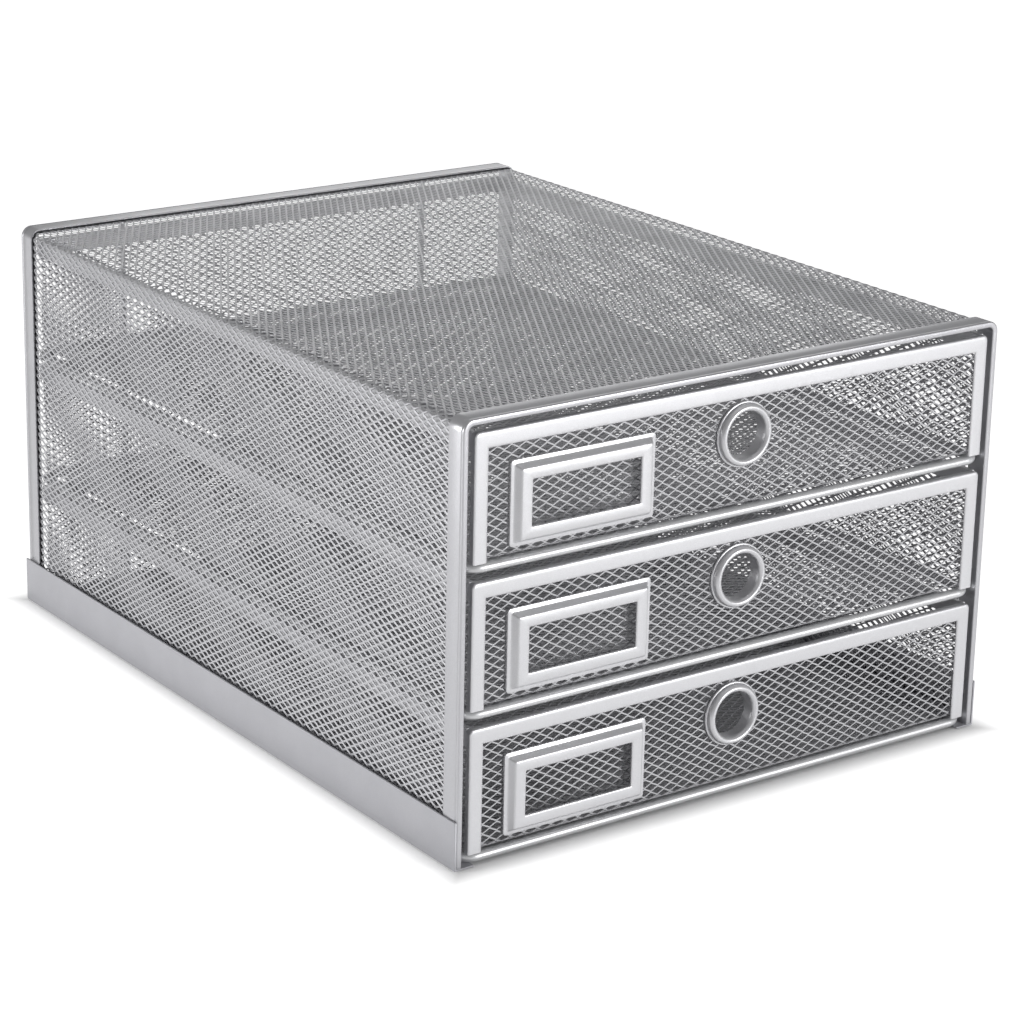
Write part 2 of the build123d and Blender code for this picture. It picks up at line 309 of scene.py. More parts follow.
def skin_rows(rows: int, count: int, round_rows: bool, round_points: bool) -> list[list[int]]:
    """Lists the four-sided faces between neighbouring rows of points.

    Args:
        rows: Number of rows.
        count: Points in each row.
        round_rows: True where the last row joins the first.
        round_points: True where each row's last point joins its first.

    Returns:
        The point numbers of each face.
    """
    faces = []
    for row in range(rows if round_rows else rows - 1):
        after = (row + 1) % rows
        for point in range(count if round_points else count - 1):
            turn = (point + 1) % count
            faces.append([row * count + point, row * count + turn, after * count + turn, after * count + point])
    return faces


@dataclass(frozen=True)
class Outline:
    """One outline of a pressed strip, a rounded rectangle in a plane of constant Y, in millimetres.

    Args:
        half_x: Half of its width.
        low_z: Its lower edge.
        high_z: Its upper edge.
        radius: Radius of its corners.
        y: Its place along the cabinet's depth.
    """

    half_x: float
    low_z: float
    high_z: float
    radius: float
    y: float

    def points(self, closed: bool, steps: int, middle_x: float = 0.0) -> list[Point]:
        """Lists the outline's points.

        Args:
            closed: True for four corners, False for an arch that is open below.
            steps: Number of divisions of each corner.
            middle_x: Middle of the outline across X.

        Returns:
            The points, anticlockwise seen from the front.
        """
        reach = max(self.radius, 0.0)
        centres = [(self.half_x - reach, self.high_z - reach), (reach - self.half_x, self.high_z - reach)]
        if closed:
            centres += [(reach - self.half_x, self.low_z + reach), (self.half_x - reach, self.low_z + reach)]
        found = [] if closed else [(middle_x + self.half_x, self.y, self.low_z)]
        for quarter, (x, z) in enumerate(centres):
            for step in range(steps + 1):
                turn = (quarter + step / steps) * math.pi / 2
                found.append((middle_x + x + reach * math.cos(turn), self.y, z + reach * math.sin(turn)))
        if not closed:
            found.append((middle_x - self.half_x, self.y, self.low_z))
        return found


def pressed_strip(name: str, outlines: Sequence[Outline], closed: bool, steps: int,
                  middle_x: float = 0.0) -> bpy.types.Mesh:
    """Joins outlines into one solid strip: the outlines are the corners of its cross-section.

    Args:
        name: Name of the mesh.
        outlines: The cross-section's corners in order round it.
        closed: True for a strip that runs all the way round.
        steps: Divisions of each corner.
        middle_x: Middle of the strip across X.

    Returns:
        The mesh.
    """
    rows = [outline.points(closed, steps, middle_x) for outline in outlines]
    count = len(rows[0])
    vertices = [point for row in rows for point in row]
    faces = skin_rows(len(rows), count, True, closed)
    if not closed:
        faces.append([row * count for row in range(len(rows))])
        faces.append([row * count + count - 1 for row in range(len(rows))])
    return solid_mesh(name, vertices, faces)


def turned_ring(name: str, profile: Sequence[tuple[float, float]], middle: tuple[float, float],
                segments: int) -> bpy.types.Mesh:
    """Turns a closed profile round an axis along Y.

    Args:
        name: Name of the mesh.
        profile: Radius and Y of each corner, in order round the cross-section.
        middle: X and Z of the axis.
        segments: Divisions of the full turn.

    Returns:
        The mesh.
    """
    vertices = []
    for segment in range(segments):
        turn = 2 * math.pi * segment / segments
        for radius, y in profile:
            vertices.append((middle[0] + radius * math.cos(turn), y, middle[1] + radius * math.sin(turn)))
    return solid_mesh(name, vertices, skin_rows(segments, len(profile), True, True), 50.0)


def shifted_copy(mesh: bpy.types.Mesh, name: str, rise: float) -> bpy.types.Mesh:
    """Copies a mesh and lifts the copy.

    Args:
        mesh: The mesh to copy.
        name: Name of the copy.
        rise: Millimetres to lift it by.

    Returns:
        The copy.
    """
    copy = mesh.copy()
    copy.name = name
    points = np.empty(len(copy.vertices) * 3, np.float32)
    copy.vertices.foreach_get("co", points)
    points[2::3] += rise * MM
    copy.vertices.foreach_set("co", points)
    copy.update()
    return copy


# ---------------------------------------------------------------- expanded metal

class LatticeTree:
    """The Geometry Nodes tree that lays out a flat sheet of expanded metal.

    The long way of the diamonds runs along X and the short way along Y. Straight strands of the
    two slopes stand on a chequered grid, and four of them meet at each knuckle.
    """

    INPUTS = (("Long Way", "NodeSocketFloat"), ("Short Way", "NodeSocketFloat"),
              ("Strand Width", "NodeSocketFloat"), ("Thickness", "NodeSocketFloat"),
              ("Tilt", "NodeSocketFloat"), ("Knuckle", "NodeSocketFloat"),
              ("Columns", "NodeSocketInt"), ("Rows", "NodeSocketInt"),
              ("Hole Y", "NodeSocketFloat"), ("Hole Radius", "NodeSocketFloat"),
              ("Material", "NodeSocketMaterial"))
    WELD_DISTANCE = 0.00002
    END_FACE_NORMAL = 0.9

    def __init__(self) -> None:
        """Builds the tree once, for every sheet."""
        self.tree = bpy.data.node_groups.new("expanded_metal", "GeometryNodeTree")
        for name, kind in self.INPUTS:
            self.tree.interface.new_socket(name, in_out="INPUT", socket_type=kind)
        self.tree.interface.new_socket("Geometry", in_out="OUTPUT", socket_type="NodeSocketGeometry")
        self.bench = NodeBench(self.tree)
        self.entry = self.bench.add("NodeGroupInput")
        self._build()

    def _input(self, name: str) -> Socket:
        """Returns one named input of the tree."""
        return self.entry.outputs[name]

    def _axes(self, kind: str) -> bpy.types.bpy_prop_collection:
        """Adds a Position or Normal node with Separate XYZ behind it and returns its outputs."""
        return self.bench.split(self.bench.add(kind).outputs[0])

    def _strands(self) -> list[Socket]:
        """Builds one rising and one falling strand.

        Returns:
            The geometry of both.
        """
        bench = self.bench
        half_long = bench.calc("MULTIPLY", self._input("Long Way"), 0.5)
        bar = bench.add("GeometryNodeMeshCube")
        bench.feed(bar.inputs["Size"],
                   bench.vector(half_long, self._input("Strand Width"), self._input("Thickness")))
        facing = bench.calc("ABSOLUTE", self._axes("GeometryNodeInputNormal")["X"])
        open_ends = bench.add("GeometryNodeDeleteGeometry")
        open_ends.domain = "FACE"
        bench.feed(open_ends.inputs["Geometry"], bar.outputs["Mesh"])
        bench.feed(open_ends.inputs["Selection"], bench.calc("GREATER_THAN", facing, self.END_FACE_NORMAL))
        tilted = bench.add("GeometryNodeTransform")
        bench.feed(tilted.inputs["Geometry"], open_ends.outputs["Geometry"])
        bench.feed(tilted.inputs["Rotation"], bench.vector(self._input("Tilt"), 0.0, 0.0))

        travel = bench.calc("SUBTRACT", bench.calc("MULTIPLY", self._input("Short Way"), 0.5),
                            bench.calc("MULTIPLY", self._input("Knuckle"), 2.0))
        along = bench.calc("DIVIDE", self._axes("GeometryNodeInputPosition")["X"], half_long)
        rise = bench.calc("MULTIPLY", along, travel)
        strands = []
        for slope in (1.0, -1.0):
            sheared = bench.add("GeometryNodeSetPosition")
            bench.feed(sheared.inputs["Geometry"], tilted.outputs["Geometry"])
            bench.feed(sheared.inputs["Offset"], bench.vector(0.0, bench.calc("MULTIPLY", rise, slope), 0.0))
            strands.append(sheared.outputs["Geometry"])
        return strands

    def _middles(self) -> tuple[Socket, Socket]:
        """Builds the grid of the strands' middles, without those in the hole.

        Returns:
            The grid, and the field that is 1 where a rising strand stands.
        """
        bench = self.bench
        long_step = bench.calc("MULTIPLY", self._input("Long Way"), 0.5)
        short_step = bench.calc("MULTIPLY", self._input("Short Way"), 0.5)
        across = bench.calc("MULTIPLY", self._input("Columns"), 2.0)
        up = bench.calc("MULTIPLY", self._input("Rows"), 2.0)
        grid = bench.add("GeometryNodeMeshGrid")
        bench.feed(grid.inputs["Size X"], bench.calc("MULTIPLY", bench.calc("SUBTRACT", across, 1.0), long_step))
        bench.feed(grid.inputs["Size Y"], bench.calc("MULTIPLY", bench.calc("SUBTRACT", up, 1.0), short_step))
        bench.feed(grid.inputs["Vertices X"], across)
        bench.feed(grid.inputs["Vertices Y"], up)

        place = self._axes("GeometryNodeInputPosition")
        off_hole = bench.calc("SUBTRACT", place["Y"], self._input("Hole Y"))
        away = bench.calc("SQRT", bench.calc("ADD", bench.calc("MULTIPLY", place["X"], place["X"]),
                                             bench.calc("MULTIPLY", off_hole, off_hole)))
        pierced = bench.add("GeometryNodeDeleteGeometry")
        pierced.domain = "POINT"
        bench.feed(pierced.inputs["Geometry"], grid.outputs["Mesh"])
        bench.feed(pierced.inputs["Selection"], bench.calc("LESS_THAN", away, self._input("Hole Radius")))

        counts = []
        for axis, step, total in (("X", long_step, "Columns"), ("Y", short_step, "Rows")):
            shift = bench.calc("SUBTRACT", self._input(total), 0.5)
            counts.append(bench.calc("ROUND", bench.calc("ADD", bench.calc("DIVIDE", place[axis], step), shift)))
        odd = bench.calc("FLOORED_MODULO", bench.calc("ADD", *counts), 2.0)
        return pierced.outputs["Geometry"], bench.calc("LESS_THAN", odd, 0.5)

    def _build(self) -> None:
        """Joins the strands on their grid and ends the tree."""
        bench = self.bench
        rising, falling = self._strands()
        middles, is_rising = self._middles()
        joined = bench.add("GeometryNodeJoinGeometry")
        for strand, wanted in ((rising, is_rising), (falling, bench.calc("SUBTRACT", 1.0, is_rising))):
            stand = bench.add("GeometryNodeInstanceOnPoints")
            for name, value in (("Points", middles), ("Selection", wanted), ("Instance", strand)):
                bench.feed(stand.inputs[name], value)
            bench.feed(joined.inputs["Geometry"], stand.outputs["Instances"])
        real = bench.wired("GeometryNodeRealizeInstances", joined.outputs["Geometry"])
        weld = bench.add("GeometryNodeMergeByDistance")
        bench.feed(weld.inputs["Distance"], self.WELD_DISTANCE)
        bench.feed(weld.inputs["Geometry"], real.outputs["Geometry"])
        paint = bench.add("GeometryNodeSetMaterial")
        bench.feed(paint.inputs["Geometry"], weld.outputs["Geometry"])
        bench.feed(paint.inputs["Material"], self._input("Material"))
        bench.wired("NodeGroupOutput", paint.outputs["Geometry"])

    def identifier(self, name: str) -> str:
        """Returns the identifier of one named input."""
        return next(item.identifier for item in self.tree.interface.items_tree
                    if item.in_out == "INPUT" and item.name == name)


@dataclass(frozen=True)
class Lattice:
    """One flat sheet of expanded metal, in millimetres.

    Args:
        length: Its size along the diamonds' long way.
        height: Its size along their short way.
        columns: Diamonds along its length.
        rows: Diamonds along its height.
        width: Width of a strand, measured along the short way.
        thickness: Thickness of a strand.
        tilt: Degrees that each strand leans out of the sheet.
        knuckle: How far a strand's end stands off the middle of its knuckle.
        hole_y: Place of a round hole up the sheet, from its middle.
        hole_radius: Radius within which no strand has its middle, or 0 for none.
    """

    length: float
    height: float
    columns: int
    rows: int
    width: float = 0.8
    thickness: float = 0.32
    tilt: float = -9.0
    knuckle: float = 0.2
    hole_y: float = 0.0
    hole_radius: float = 0.0

    def points_and_mesh(self, name: str, tree: LatticeTree,
                        material: bpy.types.Material) -> tuple[np.ndarray, bpy.types.Mesh]:
        """Bakes the sheet.

        Args:
            name: Name of the mesh.
            tree: The Geometry Nodes tree.
            material: Material that the tree sets.

        Returns:
            The points in millimetres, one row each, and the mesh that they belong to.
        """
        carrier = bpy.data.objects.new(f"{name}_carrier", bpy.data.meshes.new(f"{name}_carrier"))
        bpy.context.scene.collection.objects.link(carrier)
        modifier = carrier.modifiers.new("lattice", "NODES")
        modifier.node_group = tree.tree
        settings = {"Long Way": self.length / self.columns * MM, "Short Way": self.height / self.rows * MM,
                    "Strand Width": self.width * MM, "Thickness": self.thickness * MM,
                    "Tilt": math.radians(self.tilt), "Knuckle": self.knuckle * MM,
                    "Columns": self.columns, "Rows": self.rows,
                    "Hole Y": self.hole_y * MM, "Hole Radius": self.hole_radius * MM, "Material": material}
        for label, value in settings.items():
            modifier[tree.identifier(label)] = value
        graph = bpy.context.evaluated_depsgraph_get()
        mesh = bpy.data.meshes.new_from_object(carrier.evaluated_get(graph), depsgraph=graph)
        mesh.name = name
        carrier.modifiers.remove(modifier)
        bpy.data.objects.remove(carrier)
        points = np.empty(len(mesh.vertices) * 3, np.float32)
        mesh.vertices.foreach_get("co", points)
        return points.reshape(-1, 3).astype(float) / MM, mesh


@dataclass(frozen=True)
class Fold:
    """Where a sheet lies: a start, a way up it, a face, and one bend away from that face.

    Args:
        start: Middle of the sheet's first edge, at the middle of its thickness.
        way: Unit direction up the sheet from that edge.
        face: Unit direction that its outer face looks in.
        flat: Length before the bend.
        bend: Radius of the bend at the middle of the thickness, or 0 for a sheet that stays flat.
    """

    start: Point
    way: Point
    face: Point
    flat: float = 0.0
    bend: float = 0.0

    def lay(self, points: np.ndarray, height: float) -> np.ndarray:
        """Moves the points of a flat sheet to their places.

        Args:
            points: Points of the flat sheet, in millimetres.
            height: Height of the flat sheet.

        Returns:
            The points in place, in millimetres.
        """
        way, face = np.array(self.way, float), np.array(self.face, float)
        side = np.cross(way, face)
        run = points[:, 1] + height / 2
        out = points[:, 2]
        up, depth = run, out
        if self.bend:
            turn = np.clip((run - self.flat) / self.bend, 0, math.pi / 2)
            past = np.maximum(run - self.flat - self.bend * math.pi / 2, 0)
            up = np.minimum(run, self.flat) + (self.bend + out) * np.sin(turn)
            depth = (self.bend + out) * np.cos(turn) - self.bend - past
        return np.array(self.start) + np.outer(points[:, 0], side) + np.outer(up, way) + np.outer(depth, face)


class MeshWorks:
    """Bakes expanded-metal sheets and lays them in place."""

    def __init__(self, palette: Palette) -> None:
        """Builds the tree.

        Args:
            palette: The finishes.
        """
        self.tree = LatticeTree()
        self.material = palette.material(Finish.MESH)

    def sheet(self, name: str, lattice: Lattice, fold: Fold) -> bpy.types.Mesh:
        """Bakes one sheet in place.

        Args:
            name: Name of the mesh.
            lattice: The flat sheet.
            fold: Where it lies.

        Returns:
            The mesh, in metres.
        """
        points, mesh = lattice.points_and_mesh(name, self.tree, self.material)
        placed = fold.lay(points, lattice.height) * MM
        mesh.vertices.foreach_set("co", placed.astype(np.float32).ravel())
        mesh.update()
        return mesh


# ---------------------------------------------------------------- the case

@dataclass
class CaseShell:
    """The fixed part: rails, frames, folded mesh sheet, wire shelves and rear rods, in millimetres."""

    half_width: float = 126.0
    front_y: float = -163.7
    rear_y: float = 166.3
    height: float = 168.0
    foot_z: float = 0.9
    rail_sheet: float = 0.8
    rail_height: float = 19.0
    rail_floor: float = 8.5
    rail_soft: float = 0.22
    rail_end: float = 0.12
    post_half: float = 125.1
    band: float = 9.0
    corner: float = 4.5
    corner_steps: int = 14
    edge: float = 2.4
    leg: float = 0.7
    rear_frame_y: float = 164.8
    sheet_inset: float = 1.1
    sheet_half: float = 123.9
    bend: float = 3.3
    side_tilt: float = 9.0
    diamonds_deep: int = 58
    diamonds_up: int = 51
    diamonds_across: int = 73

    def build(self, works: MeshWorks, palette: Palette) -> None:
        """Builds and dresses every piece of the case.

        Args:
            works: Maker of the mesh sheets.
            palette: The finishes.
        """
        self.sheets(works, palette)
        self.frame_strip("front_frame_strip", self.front_y, 1.0, "front_frame", palette)
        self.frame_strip("rear_frame_strip", self.rear_frame_y, -1.0, "rear_frame", palette)
        self.rail("left_rail", -1.0, "left_base_rail", palette)
        self.rail("right_rail", 1.0, "right_base_rail", palette)
        for level in LEVELS:
            palette.dress(f"{level}_wire_shelf", Finish.WIRE)
        for side in ("left", "right"):
            palette.dress(f"{side}_rear_rod", Finish.WIRE)

    def sheets(self, works: MeshWorks, palette: Palette) -> None:
        """Lays the folded sheet of the case in three lengths that meet at its bends.

        Args:
            works: Maker of the mesh sheets.
            palette: The finishes.
        """
        front, rear = self.front_y + self.sheet_inset, self.rear_frame_y - self.sheet_inset
        length, middle = rear - front, (front + rear) / 2
        bend_z = self.height - self.corner
        bend_x = self.post_half - self.corner
        side_height = bend_z - self.foot_z + self.bend * math.pi / 2
        for name, sign in (("left", -1.0), ("right", 1.0)):
            side = Lattice(length, side_height, self.diamonds_deep, self.diamonds_up, width=0.78,
                           thickness=0.3, tilt=sign * self.side_tilt)
            fold = Fold((sign * self.sheet_half, middle, self.foot_z), (0, 0, 1), (sign, 0, 0),
                        bend_z - self.foot_z, self.bend)
            mesh = works.sheet(f"case_{name}_sheet", side, fold)
            place_piece(f"case_{name}_sheet", mesh, "case", Finish.MESH, palette,
                        (f"case_{name}_mesh", f"case_{name}_bend"))
        top = Lattice(length, 2 * bend_x, self.diamonds_deep, self.diamonds_across, width=0.76,
                      thickness=0.22, tilt=0.0)
        fold = Fold((-bend_x, middle, bend_z + self.bend), (1, 0, 0), (0, 0, 1))
        mesh = works.sheet("case_top_sheet", top, fold)
        place_piece("case_top_sheet", mesh, "case", Finish.MESH, palette, ("case_top_mesh",))

    def frame_strip(self, name: str, face_y: float, inward: float, node: str, palette: Palette) -> None:
        """Folds one strip round the edge of the mesh, with a rolled lip and a groove behind it.

        Args:
            name: Name of the piece.
            face_y: Y of the rolled edge.
            inward: 1 where the strip runs back from that edge, -1 where it runs forward.
            node: The CAD node that it stands for.
            palette: The finishes.
        """
        edge, leg, band = self.edge, self.leg, self.band
        outer_leg = ((0.12, band), (0.0, band - 0.12), (0.0, 2.05), (0.13, 1.85), (0.13, 1.6), (0.0, 1.4))
        rolled_edge = ((0.0, 0.55), (0.1, 0.24), (0.3, 0.06), (0.6, 0.0), (edge - 0.6, 0.0),
                       (edge - 0.3, 0.06), (edge - 0.1, 0.24), (edge, 0.55))
        inner_leg = ((edge, band - 0.12), (edge - 0.12, band), (edge - leg + 0.1, band), (edge - leg, band - 0.1))
        pocket = ((edge - leg, 1.0), (leg, 1.0), (leg, band - 0.1), (leg - 0.1, band))
        outlines = [Outline(self.post_half - inset, self.foot_z, self.height - inset,
                            self.corner - inset, face_y + inward * depth)
                    for inset, depth in outer_leg + rolled_edge + inner_leg + pocket]
        mesh = pressed_strip(name, outlines, False, self.corner_steps)
        place_piece(name, mesh, "case", Finish.FRAME, palette, (node,))

    def rail(self, name: str, sign: float, node: str, palette: Palette) -> None:
        """Bends one base rail, with softly broken edges.

        Args:
            name: Name of the piece.
            sign: -1 for the left rail, 1 for the right one.
            node: The CAD node that it stands for.
            palette: The finishes.
        """
        sheet, soft, end = self.rail_sheet, self.rail_soft, self.rail_end
        section = ((0.0, 0.5), (0.15, 0.15), (0.5, 0.0), (self.rail_floor - soft, 0.0), (self.rail_floor, soft),
                   (self.rail_floor, sheet), (sheet + 0.3, sheet), (sheet, sheet + 0.3),
                   (sheet, self.rail_height - soft), (sheet - soft, self.rail_height),
                   (soft, self.rail_height), (0.0, self.rail_height - soft))
        stations = ((self.front_y, end), (self.front_y + end, 0.0), (self.rear_y - end, 0.0), (self.rear_y, end))
        vertices: list[Point] = []
        for y, shrink in stations:
            for inset, z in section:
                near_x = inset + shrink * (1 if inset < sheet / 2 else -1 if inset > self.rail_floor / 2 else 0)
                near_z = z + shrink * (1 if z < sheet / 2 else -1 if z > self.rail_height / 2 else 0)
                vertices.append((sign * (self.half_width - near_x), y, near_z))
        count = len(section)
        faces = skin_rows(len(stations), count, False, True)
        faces.append(list(range(count)))
        faces.append([(len(stations) - 1) * count + corner for corner in range(count)])
        place_piece(name, solid_mesh(name, vertices, faces), "case", Finish.BASE, palette, (node,))


# ---------------------------------------------------------------- a drawer

@dataclass
class Drawer:
    """One drawer, in millimetres: a tray of expanded metal, its trim, rim, label holder and finger ring."""

    level: int
    name: str
    front_y: float = -163.7
    rear_y: float = 160.8
    half: float = 120.1
    first_floor: float = 5.0
    pitch: float = 54.9
    height: float = 48.0
    trim_side: float = 6.0
    trim_top: float = 6.3
    trim_sheet: float = 0.8
    trim_return: float = 2.5
    trim_radius: float = 2.0
    tray_bend: float = 2.6
    front_cover: float = 0.9
    front_depth: float = 1.3
    floor_rise: float = 0.4
    wall_half: float = 118.8
    wall_start: float = 2.7
    wall_cover: float = 0.8
    back_depth: float = 1.1
    diamonds_across: int = 39
    diamonds_up: int = 13
    diamonds_deep: int = 53
    floor_rows: int = 87
    holder_x: float = -73.0
    holder_half: tuple[float, float] = (31.8, 16.0)
    window_half: tuple[float, float] = (23.9, 8.65)
    holder_drop: float = 28.3
    ring_drop: float = 20.0
    ring_clearing: float = 10.9

    @property
    def floor_z(self) -> float:
        """Underside of the drawer."""
        return self.first_floor + self.level * self.pitch

    @property
    def top_z(self) -> float:
        """Top edge of the drawer."""
        return self.floor_z + self.height

    @property
    def seat_y(self) -> float:
        """Plane that the label holder and the ring sit on, just in front of the mesh."""
        return self.front_y + self.trim_sheet

    def tray(self, works: MeshWorks) -> dict[str, bpy.types.Mesh]:
        """Bakes the five sides of the tray at this drawer's height.

        Args:
            works: Maker of the mesh sheets.

        Returns:
            The meshes by the name of the net that each stands for.
        """
        front_mid, floor_mid = self.front_y + self.front_depth, self.floor_z + self.floor_rise
        front_top, wall_top = self.top_z - self.front_cover, self.top_z - self.wall_cover
        flat = front_top - floor_mid - self.tray_bend
        front_height, wall_height = flat + self.tray_bend * math.pi / 2, wall_top - floor_mid
        floor_start, floor_end = front_mid + self.tray_bend, self.rear_y - self.back_depth
        wall_start = self.front_y + self.wall_start
        wall_mid, wall_half = (wall_start + floor_end) / 2, self.wall_half
        front = Lattice(2 * (self.half - self.front_cover), front_height, self.diamonds_across, self.diamonds_up,
                        width=0.6, tilt=-5.0, knuckle=0.16,
                        hole_y=self.ring_drop - self.front_cover - front_height / 2,
                        hole_radius=self.ring_clearing)
        floor = Lattice(2 * wall_half, floor_end - floor_start, self.diamonds_across, self.floor_rows,
                        width=0.66, tilt=-14.0)
        wall = Lattice(floor_end - wall_start, wall_height, self.diamonds_deep, self.diamonds_up, width=0.76)
        back = Lattice(2 * wall_half, wall_height, self.diamonds_across, self.diamonds_up, width=0.76)
        lays = {
            "front_mesh": (front, Fold((0, front_mid, front_top), (0, 0, -1), (0, -1, 0), flat, self.tray_bend)),
            "floor_mesh": (floor, Fold((0, floor_start, floor_mid), (0, 1, 0), (0, 0, -1))),
            "left_mesh": (wall, Fold((-wall_half, wall_mid, floor_mid), (0, 0, 1), (-1, 0, 0))),
            "right_mesh": (wall, Fold((wall_half, wall_mid, floor_mid), (0, 0, 1), (1, 0, 0))),
            "back_mesh": (back, Fold((0, floor_end, floor_mid), (0, 0, 1), (0, 1, 0)))}
        return {part: works.sheet(f"{self.name}_{part}_sheet", lattice, fold)
                for part, (lattice, fold) in lays.items()}

    def trim(self) -> bpy.types.Mesh:
        """Presses the strip round the sides and the top of the front.

        Returns:
            The mesh.
        """
        side, sheet, back = self.trim_side, self.trim_sheet, self.trim_return
        corners = ((0.0, back), (0.0, 0.62), (0.1, 0.34), (0.32, 0.13), (0.75, 0.03), (1.6, 0.0), (side - 1.6, 0.0),
                   (side - 0.75, 0.03), (side - 0.3, 0.16), (side - 0.06, 0.42), (side, sheet),
                   (side - 0.6, sheet), (sheet + 0.1, sheet), (sheet, sheet + 0.1), (sheet, back))
        outlines = []
        for inset, depth in corners:
            drop = inset * self.trim_top / side
            outlines.append(Outline(self.half - inset, self.floor_z, self.top_z - drop,
                                    self.trim_radius - inset, self.front_y + depth))
        return pressed_strip(f"{self.name}_trim_strip", outlines, False, 8)

    def holder(self) -> bpy.types.Mesh:
        """Presses the label holder: flange, slope, raised border and window.

        Returns:
            The mesh.
        """
        middle_z = self.top_z - self.holder_drop
        inner_x = self.holder_half[0] - self.window_half[0]
        inner_z = self.holder_half[1] - self.window_half[1]
        flange = ((0.0, 0.0, 1.4), (0.0, 0.5, 1.4), (0.12, 0.72, 1.3), (0.35, 0.8, 1.15), (1.2, 0.8, 0.9))
        slope = ((1.5, 0.86, 0.85), (1.75, 1.04, 0.8), (2.0, 1.34, 0.8), (2.75, 2.76, 0.75), (3.0, 3.1, 0.7),
                 (3.3, 3.32, 0.65))
        border = ((3.7, 3.4, 0.6), (7.25, 3.4, 0.5), (7.6, 3.34, 0.5), (7.82, 3.16, 0.5), (7.9, 2.9, 0.5))
        back = ((7.9, 2.6, 0.5), (4.0, 2.6, 0.6), (3.6, 2.4, 0.5), (2.5, 0.4, 0.5), (2.2, 0.0, 0.5))
        outlines = []
        for inset, rise, radius in flange + slope + border + back:
            inset_z = inset * inner_z / inner_x
            outlines.append(Outline(self.holder_half[0] - inset, middle_z - self.holder_half[1] + inset_z,
                                    middle_z + self.holder_half[1] - inset_z, radius, self.seat_y - rise))
        return pressed_strip(f"{self.name}_holder_plate", outlines, True, 6, self.holder_x)

    def ring(self) -> bpy.types.Mesh:
        """Rolls the finger ring: a fine step, a round crest and a barrel through the mesh.

        Returns:
            The mesh.
        """
        inner, crest, outer, sheet, barrel = 8.85, 12.0, 12.6, 0.7, 2.8
        middle, half, rise, steps = (inner + crest) / 2, (crest - inner) / 2, 3.0 - sheet, 16
        profile = [(inner, barrel), (inner + sheet, barrel), (inner + sheet, 0.0), (outer, 0.0),
                   (outer, -sheet + 0.2), (outer - 0.2, -sheet), (crest, -sheet)]
        for step in range(1, steps):
            turn = math.pi * step / steps
            profile.append((middle + half * math.cos(turn), -sheet - rise * math.sin(turn)))
        profile.append((inner, -sheet))
        placed = [(radius, self.seat_y + depth) for radius, depth in profile]
        return turned_ring(f"{self.name}_ring_turned", placed, (0.0, self.top_z - self.ring_drop), 72)

    def build(self, tray: dict[str, bpy.types.Mesh], rise: float, palette: Palette) -> None:
        """Places every piece of the drawer.

        Args:
            tray: The baked sides of the lowest drawer's tray.
            rise: Millimetres from the lowest drawer up to this one.
            palette: The finishes.
        """
        body = f"{self.name}_drawer"
        for part, mesh in tray.items():
            sheet = shifted_copy(mesh, f"{body}_{part}_sheet", rise)
            place_piece(f"{body}_{part}_sheet", sheet, body, Finish.MESH, palette, (f"{body}_{part}",))
        makers: dict[str, Callable[[], bpy.types.Mesh]] = {
            "front_trim": self.trim, "label_holder": self.holder, "finger_ring": self.ring}
        for node, make in makers.items():
            place_piece(f"{body}_{node}_pressed", make(), body, Finish.TRIM, palette, (f"{body}_{node}",))
        for node in ("rim_strip", "ring_washer"):
            palette.dress(f"{body}_{node}", Finish.TRIM)


# ---------------------------------------------------------------- studio

@dataclass(frozen=True)
class Lamp:
    """One soft square lamp.

    Args:
        name: Name of the lamp.
        place: Where it hangs, in metres.
        aim: The point that it faces.
        size: Side of the square.
        power: Its power in watts.
    """

    name: str
    place: Point
    aim: Point
    size: float
    power: float

    def hang(self) -> None:
        """Adds the lamp to the scene."""
        data = bpy.data.lights.new(self.name, "AREA")
        data.size = self.size
        data.energy = self.power
        item = bpy.data.objects.new(self.name, data)
        item.location = self.place
        item.rotation_euler = (Vector(self.aim) - Vector(self.place)).to_track_quat("-Z", "Y").to_euler()
        bpy.context.scene.collection.objects.link(item)


